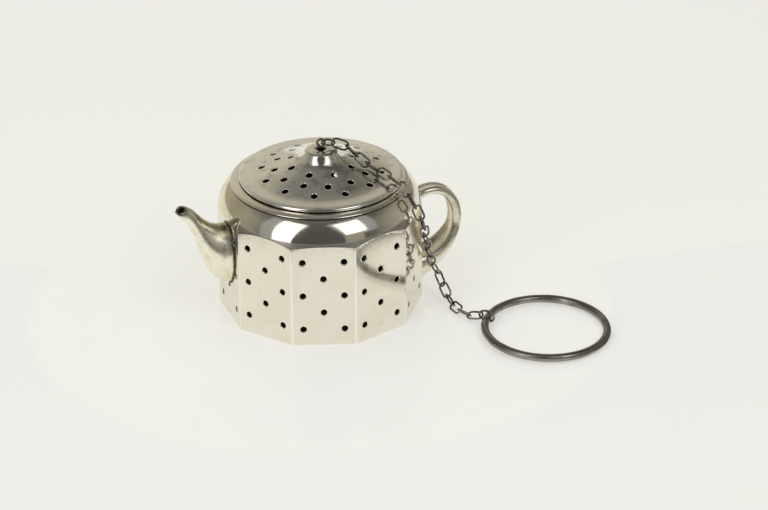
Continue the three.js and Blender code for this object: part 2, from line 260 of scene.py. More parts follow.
YELLOW_TINT_COLOUR = (0.78, 0.70, 0.42)
OLIVE = (0.56, 0.54, 0.36)
WEAR_HIGHLIGHT_COLOUR = (0.98, 0.955, 0.90)
POLISHED = silver("polished_silver", (0.885, 0.845, 0.735), (0.85, 0.79, 0.665), (0.76, 0.71, 0.61),
                  (0.07, 0.055, 0.045), rough=0.065, wave=8, patch=(0.60, 0.80), brushed=0.8)
WARM = silver("warm_silver", (0.95, 0.92, 0.80), (0.91, 0.865, 0.67), (0.74, 0.69, 0.54),
              (0.10, 0.08, 0.06), rough=0.19, wave=14)
TARNISHED = silver("tarnished_silver", (0.90, 0.87, 0.77), (0.78, 0.76, 0.66), (0.50, 0.46, 0.45),
                   (0.05, 0.042, 0.038), rough=0.10, wave=20, patch=(0.50, 0.66))
DARK = silver("dark_silver", (0.35, 0.325, 0.285), (0.23, 0.21, 0.187), (0.15, 0.132, 0.116),
              (0.04, 0.035, 0.03), rough=0.24, wave=10, pit=2.0)
CHAIN = silver("chain_silver", (0.46, 0.42, 0.35), (0.26, 0.235, 0.20), (0.10, 0.088, 0.078),
               (0.015, 0.013, 0.011), rough=0.17, wave=8, patch=(0.46, 0.60), pit=2.0)


# ---- mesh tools ---------------------------------------------------------------------------------
class Skin:
    """Points and faces of one closed piece, in millimetres."""

    def __init__(self):
        self.points = []
        self.faces = []

    def grid(self, rows, closed=True):
        """Rows with equal counts of points, joined with quads; closed rows run all the way round."""
        start, count = len(self.points), len(rows[0])
        for row in rows:
            self.points.extend(tuple(point) for point in row)
        for row in range(len(rows) - 1):
            for step in range(count if closed else count - 1):
                a = start + row * count + step
                b = start + row * count + (step + 1) % count
                self.faces.append((a, b, b + count, a + count))

    def lid(self, ring):
        """Closes a ring of points with one flat face."""
        start = len(self.points)
        self.points.extend(tuple(point) for point in ring)
        self.faces.append(tuple(range(start, start + len(ring))))

    def patch(self, points, triangles):
        start = len(self.points)
        self.points.extend(tuple(point) for point in points)
        self.faces.extend(tuple(start + corner for corner in triangle) for triangle in triangles)


MERGE = 2e-6
SHARP_ANGLE = math.radians(52)


def finish_piece(name, skin, material, body, slot, nodes, shift=(0, 0, 0), **measures):
    """Makes the mesh. The measures of shade and grime, of wear and highlight and of yellow tint are
    functions of the unshifted points in millimetres, and the mesh carries their values for its material.
    The first holds painted shade as well as dark seams, the second painted highlight as well as wear,
    and the third a tint that is painted dark reflection on the handle's inner side."""
    mesh = bpy.data.meshes.new(name)
    mesh.from_pydata([tuple(value * MM for value in point) for point in skin.points], [], skin.faces)
    work = bmesh.new()
    work.from_mesh(mesh)
    bmesh.ops.remove_doubles(work, verts=work.verts, dist=MERGE)
    bmesh.ops.dissolve_degenerate(work, edges=work.edges, dist=MERGE)
    bmesh.ops.recalc_face_normals(work, faces=work.faces)
    for face in work.faces:
        face.smooth = True
    work.to_mesh(mesh)
    work.free()
    mesh.set_sharp_from_angle(angle=SHARP_ANGLE)
    mesh.materials.append(material)
    places = np.zeros(len(mesh.vertices) * 3)
    mesh.vertices.foreach_get("co", places)
    for measure in ("soot", "worn", "gilt"):
        rule = measures.get(measure)
        values = np.zeros(len(mesh.vertices)) if rule is None else rule(places.reshape(-1, 3) / MM)
        mesh.attributes.new(measure, "FLOAT", "POINT").data.foreach_set("value", np.clip(values, 0, 1))
    mesh.transform(Matrix.Translation(Vector(shift) * MM))
    piece = put_in_scene(name, mesh)
    piece.modifiers.new("weighted", "WEIGHTED_NORMAL").keep_sharp = True
    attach(piece, body)
    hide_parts(*nodes)


def around(count):
    """Evenly spaced angles round a full turn."""
    return np.linspace(0, 2 * math.pi, count, endpoint=False)


def circle(radius, count):
    return [(radius * math.cos(t), radius * math.sin(t)) for t in around(count)]


def smoothstep(low, high, value):
    share = np.clip((np.asarray(value, float) - low) / (high - low), 0, 1)
    return share * share * (3 - 2 * share)


def near(value, middle, width):
    """1 where the value is at the middle, and falling off like a bell within the width."""
    return np.exp(-((value - middle) / width) ** 2)


def spline(stops, count):
    """Catmull-Rom curve through rows of numbers, sampled at that many places."""
    stops = np.asarray(stops, float)
    ends = np.vstack([2 * stops[0] - stops[1], stops, 2 * stops[-1] - stops[-2]])
    out = []
    for place in np.linspace(0, len(stops) - 1, count):
        i = min(int(place), len(stops) - 2)
        t = place - i
        a, b, c, d = ends[i:i + 4]
        out.append(0.5 * (2 * b + (c - a) * t + (2 * a - 5 * b + 4 * c - d) * t * t
                          + (3 * b - a - 3 * c + d) * t ** 3))
    return np.array(out)


def rounded(profile, radius, steps=5):
    """A closed profile with each corner cut to a small arc."""
    out = []
    count = len(profile)
    for i in range(count):
        before, here, after = (np.array(profile[(i + k) % count], float) for k in (-1, 0, 1))
        reach_before = min(radius, np.linalg.norm(before - here) * 0.45)
        reach_after = min(radius, np.linalg.norm(after - here) * 0.45)
        start = here + (before - here) / np.linalg.norm(before - here) * reach_before
        end = here + (after - here) / np.linalg.norm(after - here) * reach_after
        for t in np.linspace(0, 1, steps + 1):
            out.append((1 - t) ** 2 * start + 2 * t * (1 - t) * here + t * t * end)
    return out


def turned(skin, profile, segments=160, closed=True):
    """Turns a profile of (radius, height) about Z."""
    rows = [[(x, y, height) for x, y in circle(radius, segments)] for radius, height in profile]
    skin.grid(rows + rows[:1] if closed else rows)


def wire_loop(skin, centre, u, v, outline, radius, sides=14):
    """A closed wire whose middle line is an outline of (along u, along v) round the centre."""
    outline = np.asarray(outline, float)
    centre, u, v = (np.array(x, float) for x in (centre, u, v))
    normal = np.cross(u, v)
    radii = np.broadcast_to(radius, len(outline))
    tangents = np.roll(outline, -1, 0) - np.roll(outline, 1, 0)
    tangents /= np.linalg.norm(tangents, axis=1)[:, None]
    rows = []
    for (a, b), (ta, tb), r in zip(outline, tangents, radii):
        outward = u * tb - v * ta
        middle = centre + u * a + v * b
        rows.append([middle + (outward * math.cos(s) + normal * math.sin(s)) * r
                     for s in around(sides)])
    skin.grid(rows + rows[:1])


def wire_path(skin, path, normal, radius, sides=14):
    """An open wire in one plane, with flat ends."""
    path, normal = np.asarray(path, float), np.array(normal, float)
    rows = []
    for tangent, middle in zip(np.gradient(path, axis=0), path):
        outward = np.cross(tangent / np.linalg.norm(tangent), normal)
        rows.append([middle + (outward * math.cos(s) + normal * math.sin(s)) * radius
                     for s in around(sides)])
    skin.grid(rows)
    skin.lid(rows[0])
    skin.lid(rows[-1])


SECOND_RING = 1.16            # a ring of points round a hole, as a share of the hole's radius
FILL_CLEARANCE = 1.32         # how near the other points may come to a hole
INSIDE_HOLE = 0.985           # a triangle whose middle is nearer than this lies in the hole


def pierced(outline, holes, reach, fill, keep=None):
    """Triangles over a convex outline with round holes: returns flat points and triangles.
    Holes are (x, y) middles, reach is the radius cut out round each, and fill is the points between
    them. Keep says of a triangle's middle whether the triangle stays."""
    rim = circle(reach, HOLE_POINTS)
    points = [Vector(point) for point in outline]
    edges = [(i, (i + 1) % len(outline)) for i in range(len(outline))]
    for x, y in holes:
        start = len(points)
        points += [Vector((x + a, y + b)) for a, b in rim]
        edges += [(start + i, start + (i + 1) % HOLE_POINTS) for i in range(HOLE_POINTS)]
    middles = np.array(holes)
    points += [Vector((x + a * SECOND_RING, y + b * SECOND_RING)) for x, y in holes for a, b in rim]
    for point in fill:
        if np.hypot(*(middles - point).T).min() > reach * FILL_CLEARANCE:
            points.append(Vector(point))
    found, _, faces, _, _, _ = delaunay_2d_cdt(points, edges, [], 0, 1e-7)
    flat = np.array([tuple(point) for point in found])
    kept = []
    for face in faces:
        middle = flat[list(face)].mean(0)
        if np.hypot(*(middles - middle).T).min() < reach * INSIDE_HOLE:
            continue
        if keep is None or keep(middle):
            kept.append(face)
    return flat, kept


def hole_walls(skin, holes, place, radius, edge, depth):
    """The rounded edge and the wall of each hole; place(x, y, down) puts a point below the surface."""
    bends = np.linspace(0, math.pi / 2, 5)
    levels = [(radius + edge * (1 - math.sin(bend)), edge * (1 - math.cos(bend))) for bend in bends]
    levels += [(radius, depth - edge * 0.5), (radius + edge, depth)]
    for x, y in holes:
        skin.grid([[place(x + a, y + b, down) for a, b in circle(wide, HOLE_POINTS)]
                   for wide, down in levels])


# ---- pot ----------------------------------------------------------------------------------------
PANEL_ANGLES = [2 * math.pi * side / SIDES for side in range(SIDES)]
FLAT_STEPS = 24
ROUND_STEPS = 6
PER_SIDE = FLAT_STEPS + ROUND_STEPS
ARCH_ROWS = (0.12, 0.28, 0.6)              # distances under the arch where the painted shade of the crease changes quickly


def panel_holes(side):
    """Middles of a panel's holes: distance from the panel's middle line, and height."""
    rise = RAISED_BY if side == RAISED_SIDE else 0
    return [(column, height + rise) for row, height in enumerate(HOLE_ROWS)
            for column in ([-HOLE_COLUMN, HOLE_COLUMN] if row % 2 == 0 else [0.0])]


def panel_fill(reach, low, tops):
    """Points inside a panel: a net that is closer under the arch and beside the corners."""
    spread = np.concatenate([[-0.96], np.linspace(-0.9, 0.9, 15), [0.96]]) * reach
    heights = np.arange(low + 0.6, min(tops) - 0.9, 0.8)
    fill = [(x, z) for x in spread for z in heights]
    arch = np.interp(spread, np.linspace(-reach, reach, len(tops)), tops)
    return fill + [(x, top - below) for below in ARCH_ROWS for x, top in zip(spread, arch)]


def arch_height(across, side):
    """Height of the line where a panel ends under the shoulder, at a distance from its middle."""
    rise = PANEL_ARCHES[side]
    arch_radius = (HALF_FACE ** 2 + rise ** 2) / (2 * rise)
    across = min(abs(across), HALF_FACE)
    return PANEL_TOP + rise - (arch_radius - math.sqrt(arch_radius ** 2 - across ** 2))


def half_flat(plane, corner):
    """Half the width of a panel's flat part, between its rounded corners."""
    return plane * math.tan(math.pi / SIDES) - corner * math.tan(math.pi / SIDES)


def sided_outline(plane, corner):
    """Points round a ten-sided outline with rounded corners: x, y, distance from the panel's middle."""
    points = []
    reach = half_flat(plane, corner)
    for angle in PANEL_ANGLES:
        out = np.array([math.cos(angle), math.sin(angle)])
        along = np.array([-out[1], out[0]])
        for across in np.linspace(-reach, reach, FLAT_STEPS + 1):
            points.append((*(out * plane + along * across), across))
        middle = out * (plane - corner) + along * reach
        for step in range(1, ROUND_STEPS):
            share = step / ROUND_STEPS
            bend = angle + 2 * math.pi / SIDES * share
            place = middle + corner * np.array([math.cos(bend), math.sin(bend)])
            points.append((*place, HALF_FACE * (1 if share > 0.5 else -1)))
    return points


def shoulder_radius(height, inset=0.0):
    """Radius of the round shoulder at a height, on its outside or an inset below it."""
    rise = min(max(height - PANEL_TOP, 0), SHOULDER_ROUND - inset)
    return CORNER_RADIUS - SHOULDER_ROUND + math.sqrt((SHOULDER_ROUND - inset) ** 2 - rise ** 2)


def pressed_panels(skin, plane, corner, low, tops, outside):
    """The flat pierced panels and the rounded strips between them, from low up to the outline's tops."""
    outline = sided_outline(plane, corner)
    reach = half_flat(plane, corner)
    for side, angle in enumerate(PANEL_ANGLES):
        out = np.array([math.cos(angle), math.sin(angle)])
        along = np.array([-out[1], out[0]])

        def place(x, y, down, out=out, along=along):
            return (*(out * (plane - down) + along * x), y)

        columns = range(side * PER_SIDE, side * PER_SIDE + FLAT_STEPS + 1)
        border = [(outline[c][2], tops[c]) for c in reversed(columns)]
        border += [(across, low) for across in np.linspace(-reach, reach, FLAT_STEPS + 1)]
        holes = panel_holes(side)
        fill = panel_fill(reach, low, tops[columns[0]:columns[-1] + 1])
        flat, faces = pierced(border, holes, HOLE_RADIUS + HOLE_EDGE, fill)
        skin.patch([place(x, y, 0) for x, y in flat], faces)
        if outside:
            hole_walls(skin, holes, place, HOLE_RADIUS, HOLE_EDGE, SHEET)
        first = side * PER_SIDE + FLAT_STEPS
        strip = [(first + step) % len(outline) for step in range(ROUND_STEPS + 1)]
        rows = [[(*outline[c][:2], low) for c in strip]]
        for below in (8.0, 2.0, *reversed(ARCH_ROWS), 0.0):
            rows.append([(*outline[c][:2], tops[c] - below) for c in strip])
        skin.grid(rows, closed=False)


def pot_wall():
    """The pierced sheet: a rim to stand on, the panels, and the shoulder up to the mouth."""
    skin = Skin()
    outer = sided_outline(FACE_PLANE, CORNER_ROUND)
    inner_plane, inner_corner = FACE_PLANE - SHEET, CORNER_ROUND * 0.6
    inner = sided_outline(inner_plane, inner_corner)
    arches = [arch_height(point[2], i // PER_SIDE) for i, point in enumerate(outer)]

    def at_radius(point, radius, height):
        length = math.hypot(point[0], point[1])
        return (point[0] / length * radius, point[1] / length * radius, height)

    rows = []
    step_rows = 12
    for step in range(step_rows + 1):
        share = step / step_rows
        row = []
        for point, arch in zip(outer, arches):
            height = arch + STEP_HALF * (2 * share - 1)
            flat = math.hypot(point[0], point[1])
            blend = float(smoothstep(0, 1, share))
            row.append(at_radius(point, flat + (shoulder_radius(height) - flat) * blend, height))
        rows.append(row)
    shoulder_rows = 30
    for step in range(1, shoulder_rows + 1):
        share = step / shoulder_rows
        row = []
        for point, arch in zip(outer, arches):
            height = arch + STEP_HALF + (MOUTH_HEIGHT - arch - STEP_HALF) * share
            row.append(at_radius(point, shoulder_radius(height), height))
        rows.append(row)
    inner_top = PANEL_TOP - 0.4
    inner_rows = 24
    for step in range(inner_rows + 1):
        height = MOUTH_HEIGHT + (inner_top - MOUTH_HEIGHT) * step / inner_rows
        row = []
        for point in inner:
            wall = math.hypot(point[0], point[1])
            row.append(at_radius(point, min(wall, shoulder_radius(height, SHEET)), height))
        rows.append(row)
    skin.grid(rows)

    panel_tops = [arch - STEP_HALF for arch in arches]
    pressed_panels(skin, FACE_PLANE, CORNER_ROUND, RIM_ROUND, panel_tops, True)
    pressed_panels(skin, inner_plane, inner_corner, RIM_ROUND, [inner_top] * len(inner), False)

    rim = []
    rim_steps = 8
    for step in range(rim_steps + 1):
        bend = math.pi * step / rim_steps
        inset = RIM_ROUND * (1 - math.cos(bend))
        share = step / rim_steps
        corner = CORNER_ROUND + (inner_corner - CORNER_ROUND) * share
        height = RIM_ROUND * (1 - math.sin(bend))
        rim.append([(x, y, height) for x, y, _ in sided_outline(FACE_PLANE - inset, corner)])
    skin.grid(rim)

    def parts(places):
        """Coordinates, radius, angle from the panel's middle, and height of the arch, for each place."""
        x, y, z = places.T
        radius = np.hypot(x, y)
        turn = np.arctan2(y, x)
        local = (turn + math.pi / SIDES) % (2 * math.pi / SIDES) - math.pi / SIDES
        side = np.round(turn / (2 * math.pi / SIDES)).astype(int) % SIDES
        arch = np.array([arch_height(r * math.sin(t), s) for r, t, s in zip(radius, local, side)])
        return x, y, z, radius, local, arch

    def soot(places):
        x, y, z, radius, local, arch = parts(places)
        rise = np.clip(z - PANEL_TOP, 0, SHOULDER_ROUND - 0.1)
        shoulder = CORNER_RADIUS - SHOULDER_ROUND + np.sqrt(SHOULDER_ROUND ** 2 - rise ** 2)
        depth = np.where(z < arch, FACE_PLANE - radius * np.cos(local), shoulder - radius)
        # Painted shade: darker below the outer surface, on the hole walls and the inside, and along the
        # crease under the step.
        hidden = smoothstep(0.12, 0.42, depth)
        crease = near(z, arch - STEP_HALF * 0.6, 0.13) * (depth < 0.3) * 0.62
        at_spout = x < -FACE_PLANE + 0.6
        at_handle = x > FACE_PLANE - 0.6
        # Dark solder seams round the roots of the spout and handle.
        spout_root = near(np.hypot((z - 14.2) / 6.4, y / 4.1), 1, 0.05) * at_spout * 0.8
        handle_root = near(np.hypot((z - 4.3) / 3.2, y / 3.5), 1, 0.08) * at_handle * 0.5
        # Painted shade at the top of the shoulder, under the neck's bead.
        mouth = smoothstep(MOUTH_HEIGHT - 0.12, MOUTH_HEIGHT, z) * 0.6
        return np.maximum.reduce([hidden * 0.85, crease, spout_root, handle_root, mouth])

    def worn(places):
        x, y, z, radius, local, arch = parts(places)
        across = radius * np.abs(np.sin(local))
        edge = smoothstep(HALF_FACE - 0.35, HALF_FACE - 0.12, across) * (z < arch) * 0.75
        return np.maximum(edge, near(z, arch + STEP_HALF * 1.2, 0.12) * 0.5)

    def gilt(places):
        x, y, z, radius, local, arch = parts(places)
        side = -np.cos(np.arctan2(y, x) + math.radians(8))
        return smoothstep(0.80, 0.97, side) * smoothstep(-0.3, 0.5, z - arch) * 0.75

    finish_piece("pot_wall", skin, POLISHED, "pot", "polished_silver", ["body_shell"],
                 soot=soot, worn=worn, gilt=gilt)


BASE_SEAM = 0.25
BASE_CORNER = 0.35


def base():
    """The flat bottom sheet, let in with a thin seam."""
    skin = Skin()
    plane = FACE_PLANE - SHEET - BASE_SEAM
    edge = 0.12
    levels = [(edge, 0.0), (edge * 0.3, edge * 0.3), (0.0, edge), (0.0, SHEET - edge),
              (edge * 0.3, SHEET - edge * 0.3), (edge, SHEET)]
    rows = [[(x, y, height) for x, y, _ in sided_outline(plane - inset, BASE_CORNER)]
            for inset, height in levels]
    skin.grid(rows)
    skin.lid(rows[0])
    skin.lid(rows[-1])
    # Painted shade: the plate is darkened, most on its upper face inside the pot.
    finish_piece("pot_base", skin, POLISHED, "pot", "polished_silver", ["base_plate"],
                 soot=lambda places: 0.3 + 0.5 * (places[:, 2] > SHEET / 2))


def neck():
    """The collar in the mouth, with a rolled bead that lies on the shoulder."""
    lip = MOUTH_HEIGHT + 0.2
    outer = shoulder_radius(MOUTH_HEIGHT) + 0.1
    inside, sleeve, foot = 14.8, 15.2, 24.6
    profile = [(inside, foot), (sleeve, foot), (sleeve, lip), (outer - 0.8, lip), (outer - 0.08, lip)]
    bead = [(outer, lip + 0.1), (outer - 0.12, lip + 0.24), (16.8, lip + 0.38), (16.3, lip + 0.47),
            (15.8, lip + 0.5), (inside, lip + 0.5)]
    profile += spline(bead, 22).tolist()
    skin = Skin()
    turned(skin, rounded(profile, 0.05, 2))

    def soot(places):
        # Painted shadow on the inner part of the collar and under the bead's lip.
        radius = np.hypot(places[:, 0], places[:, 1])
        below = smoothstep(lip + 0.12, lip, places[:, 2]) * 0.6
        return np.maximum(smoothstep(15.9, 15.5, radius) * 0.7, below)

    finish_piece("neck_bead", skin, POLISHED, "pot", "polished_silver", ["neck_ring"], soot=soot)


# ---- spout --------------------------------------------------------------------------------------
# Each stop: lower edge x and z, upper edge x and z, half width.
SPOUT_STOPS = [
    (-19.06, 7.6, -19.06, 20.8, 4.25),
    (-19.35, 8.0, -19.3, 20.45, 3.95),
    (-21.4, 8.9, -20.6, 20.5, 3.85),
    (-23.4, 11.3, -22.2, 21.0, 3.5),
    (-24.7, 14.4, -23.7, 22.1, 2.95),
    (-25.6, 17.9, -24.9, 23.4, 2.35),
    (-27.0, 21.2, -26.0, 24.6, 1.85),
    (-29.4, 24.3, -27.3, 25.4, 1.62),
]


SPOUT_WALL = 0.45
SPOUT_FLATS = 56
SPOUT_ROWS = 70


def spout_ring(stop, inset, ripple=0.0):
    """Points round the spout at a stop; a ripple makes the outline uneven."""
    low_x, low_z, high_x, high_z, half = stop
    middle = np.array([(low_x + high_x) / 2, 0, (low_z + high_z) / 2])
    up = np.array([high_x, 0, high_z]) - middle
    tall = np.linalg.norm(up)
    up /= tall
    ring = []
    for turn in around(SPOUT_FLATS):
        wave = 1 + ripple * (math.sin(5 * turn + 0.6) + 0.6 * math.sin(9 * turn + 2.0))
        rise, side = math.cos(turn), math.sin(turn)
        pinch = 1 - 0.10 * max(rise, 0) ** 2
        ring.append(middle + up * (tall - inset) * rise * wave
                    + np.array([0, (half - inset) * side * wave * pinch, 0]))
    return ring


def spout():
    skin = Skin()
    stops = spline(SPOUT_STOPS, SPOUT_ROWS)
    ripples = smoothstep(0.93, 1.0, np.linspace(0, 1, SPOUT_ROWS)) * 0.05
    outside = [spout_ring(stop, 0, ripple) for stop, ripple in zip(stops, ripples)]
    inside = [spout_ring(stop, SPOUT_WALL, ripple) for stop, ripple in zip(stops, ripples)]
    beak = (np.array(outside[-1]) + np.array(inside[-1])) / 2 + np.array([-0.14, 0, 0.14])
    skin.grid(outside + [beak] + inside[::-1] + outside[:1])

    def soot(places):
        x, y, z = places.T
        root = smoothstep(-19.6, -19.2, x) * 0.8
        lip = smoothstep(-26.6, -27.9, x) * smoothstep(23.4, 24.6, z) * 0.62
        # Painted dark reflection in a band beside the root.
        beside_root = near(x, -21.0, 0.9) * near(z, 16.2, 2.4) * 0.5
        return np.maximum.reduce([root, lip, beside_root])

    def gilt(places):
        x, y, z = places.T
        top_of_root = smoothstep(-22.6, -21.0, x) * smoothstep(18.5, 20.0, z)
        return smoothstep(12.0, 8.5, z) * 0.3 + top_of_root * 0.7

    finish_piece("spout_shell", skin, WARM, "pot", "warm_silver", ["spout"], soot=soot, gilt=gilt)


# ---- handle -------------------------------------------------------------------------------------
# Each stop: outer edge x and z, inner edge x and z, half width, and how deep the inner side is hollowed.
HANDLE_STOPS = [
    (19.1, 19.8, 19.1, 18.1, 1.75, 0.1),
    (20.6, 20.5, 20.7, 18.85, 1.7, 0.1),
    (22.3, 20.95, 22.1, 19.35, 1.7, 0.1),
    (24.7, 20.8, 23.9, 19.3, 1.7, 0.1),
    (27.1, 19.5, 25.5, 18.4, 1.7, 0.12),
    (28.8, 17.1, 26.7, 16.5, 1.7, 0.15),
    (29.4, 14.3, 27.15, 14.2, 1.75, 0.2),
    (29.15, 11.7, 26.95, 12.0, 1.9, 0.25),
    (28.1, 9.2, 26.1, 10.2, 2.5, 0.3),
    (26.0, 6.4, 24.6, 8.6, 2.95, 0.3),
    (23.4, 4.0, 22.8, 7.7, 3.25, 0.3),
    (21.0, 2.35, 21.0, 7.2, 3.35, 0.25),
    (19.1, 1.5, 19.1, 7.0, 3.4, 0.2),
]


STRAP_FLATS = 48
STRAP_ROWS = 120


def handle():
    """A strap of squarish section, grooved outside at the top and hollowed along its inside."""
    skin = Skin()
    rows = []
    for outer_x, outer_z, inner_x, inner_z, half, hollow in spline(HANDLE_STOPS, STRAP_ROWS):
        middle = np.array([(outer_x + inner_x) / 2, 0, (outer_z + inner_z) / 2])
        out = np.array([outer_x, 0, outer_z]) - middle
        groove = 0.28 * float(smoothstep(9, 15, outer_z))
        row = []
        for turn in around(STRAP_FLATS):
            c, s = math.cos(turn), math.sin(turn)
            wide = math.copysign(abs(s) ** 0.55, s)
            tall = math.copysign(abs(c) ** 0.65, c)
            if tall < 0:
                tall += hollow * 2 * max(0.0, 1 - (wide / 0.8) ** 2) ** 1.5
            else:
                tall -= groove * max(0.0, 1 - (wide / 0.55) ** 2) ** 2
            row.append(middle + out * tall + np.array([0, half * wide, 0]))
        rows.append(row)
    skin.grid(rows)
    skin.lid(rows[0])
    skin.lid(rows[-1])

    bow = spline(HANDLE_STOPS, STRAP_ROWS // 2)[:, 2:4]

    def inner_side(places):
        """1 on the side of the strap that faces the pot."""
        gap = np.hypot(places[:, 0, None] - bow[:, 0], places[:, 2, None] - bow[:, 1]).min(1)
        return smoothstep(0.5, 0.15, gap)

    # Painted dark reflection: the side that faces the pot is darkened here and tinted olive below. The
    # darkening at the root is a solder seam.
    def soot(places):
        return np.maximum(smoothstep(19.6, 19.2, places[:, 0]) * 0.7, inner_side(places) * 0.42)

    def gilt(places):
        return np.maximum(inner_side(places) * 0.9, 0.25)

    finish_piece("handle_strap", skin, WARM, "pot", "warm_silver", ["handle"], soot=soot, gilt=gilt)


# ---- lid ----------------------------------------------------------------------------------------
LID_TOP = [(3.0, 31.35), (4.3, 30.85), (6.3, 30.05), (9.2, 29.15), (11.7, 28.38), (13.3, 28.02),
           (LID_RADIUS, 27.72)]
LID_SHEET = SHEET * 0.9
LID_SEGMENTS = 160
LID_BEAD = 0.38               # radius of the rolled rim
LID_BEAD_HEIGHT = 27.33


def lid_curve():
    """The lid's top as smooth heights over the radius."""
    step = 0.05
    radii = np.arange(1.0, 18.0, step)
    heights = np.interp(radii, *zip(*LID_TOP))
    spread = np.arange(-2, 2 + step, step)
    weights = near(spread, 0, 0.55)
    heights = np.pad(heights, len(spread) // 2, "edge")
    return radii, np.convolve(heights, weights / weights.sum(), "valid")


LID_RADII, LID_HEIGHTS = lid_curve()


def lid_height(radius):
    return float(np.interp(radius, LID_RADII, LID_HEIGHTS))


def lid_place(x, y, down):
    """A point of the lid's top over (x, y), or that far below it along its slope."""
    radius = math.hypot(x, y)
    small = 0.05
    slope = (lid_height(radius + small) - lid_height(radius - small)) / (2 * small)
    length = math.hypot(1, slope)
    out = radius + down * slope / length
    return (x / radius * out, y / radius * out, lid_height(radius) - down / length)


def pierced_lid():
    """The dome with its holes, its rolled rim, and the collar round the throat under the knob."""
    skin = Skin()
    inner, outer = 4.2, 15.2
    holes = []
    for count, radius, start in LID_HOLE_RINGS:
        for step in range(count):
            angle = math.radians(start + LID_TURN + 360 * step / count)
            holes.append((radius * math.cos(angle), radius * math.sin(angle)))
    fill = circle(inner, LID_SEGMENTS)
    for radius in np.linspace(inner, outer, 26)[1:-1]:
        fill += circle(radius, max(48, int(LID_SEGMENTS * radius / outer)))
    flat, faces = pierced(circle(outer, LID_SEGMENTS), holes, LID_HOLE + HOLE_EDGE, fill,
                          lambda middle: math.hypot(*middle) > inner * 0.999)
    for down in (0, LID_SHEET):
        skin.patch([lid_place(x, y, down) for x, y in flat], faces)
    hole_walls(skin, holes, lid_place, LID_HOLE, HOLE_EDGE, LID_SHEET)

    def section(start, end, count, down):
        """Radius and height of the lid's top, or of its underside, along a stretch."""
        return [lid_place(radius, 0, down)[::2] for radius in np.linspace(start, end, count)]

    rim = section(outer, LID_RADIUS - LID_BEAD * 1.6, 3, 0)
    rim += [(LID_RADIUS - LID_BEAD + LID_BEAD * math.cos(a), LID_BEAD_HEIGHT + LID_BEAD * math.sin(a))
            for a in np.linspace(math.radians(98), math.radians(-95), 22)]
    rim += [(15.45, 27.12), *section(outer + 0.15, outer, 2, LID_SHEET)]
    turned(skin, rim, LID_SEGMENTS, closed=False)
    throat = 1.2
    collar = section(inner, throat, 8, 0) + section(throat, inner, 8, LID_SHEET)
    turned(skin, collar, LID_SEGMENTS, closed=False)

    middles = np.array(holes)

    def soot(places):
        x, y, z = places.T
        radius = np.hypot(x, y)
        below = np.interp(radius, LID_RADII, LID_HEIGHTS) - z
        # Painted shade: darker on the hole walls and underside, in a thin line under the rim and round
        # the knob's root.
        hidden = smoothstep(0.1, 0.3, below) * (radius < 15.4) * 0.9
        under = smoothstep(27.15, 27.0, z) * 0.7
        rim_line = near(radius, 15.45, 0.12) * 0.3
        knob_root = near(radius, 4.9, 0.35) * 0.25
        return np.maximum.reduce([hidden, under, rim_line, knob_root])

    def worn(places):
        """The edges of the holes and of the rim, lighter partly as burnished wear and partly as painted
        highlight.
        """
        x, y, z = places.T
        radius = np.hypot(x, y)
        below = np.interp(radius, LID_RADII, LID_HEIGHTS) - z
        away = np.hypot(x[:, None] - middles[:, 0], y[:, None] - middles[:, 1]).min(1)
        reach = LID_HOLE + HOLE_EDGE
        edge = smoothstep(reach + 0.25, reach, away) * (below < 0.2) * 0.8
        rim_edge = smoothstep(15.7, 16.0, radius) * 0.7
        rim_band = smoothstep(13.0, 13.7, radius) * 0.5
        return np.maximum.reduce([edge, rim_edge, rim_band])

    finish_piece("lid_dome", skin, TARNISHED, "lid", "tarnished_silver", ["lid"],
                 shift=LID_SHIFT, soot=soot, worn=worn)


def skirt():
    """The plain ring under the lid that drops inside the collar."""
    skin = Skin()
    turned(skin, rounded([(13.6, 24.4), (14.0, 24.4), (14.0, 27.1), (13.6, 27.1)], 0.12, 4))
    # Painted shade: the ring is darkened evenly, as it sits under the lid.
    finish_piece("lid_collar", skin, POLISHED, "lid", "polished_silver", ["lid_skirt"],
                 shift=LID_SHIFT, soot=lambda places: np.full(len(places), 0.25))


def knob():
    """A low button on a waist that spreads into the lid."""
    top, bore = 32.9, 0.62
    stops = [(5.0, 30.55), (4.5, 30.86), (4.0, 31.32), (3.62, 31.85), (3.36, 32.3), (3.2, 32.58),
             (2.9, 32.79), (2.4, 32.89), (1.6, top), (bore + 0.1, top - 0.1)]
    side = spline(stops, 60)
    under = [(bore, top - 0.2), (bore, 31.5), (2.5, 31.3), (4.6, 30.55)]
    skin = Skin()
    turned(skin, [*side, *under], 120)

    def soot(places):
        x, y, z = places.T
        radius = np.hypot(x, y)
        # Painted shade round the bore in the middle of the top and at the foot.
        return np.maximum(smoothstep(1.5, 0.8, radius) * 0.9, smoothstep(30.8, 30.6, z) * 0.2)

    finish_piece("knob", skin, TARNISHED, "lid", "polished_silver", ["lid_knob"],
                 shift=LID_SHIFT, soot=soot)


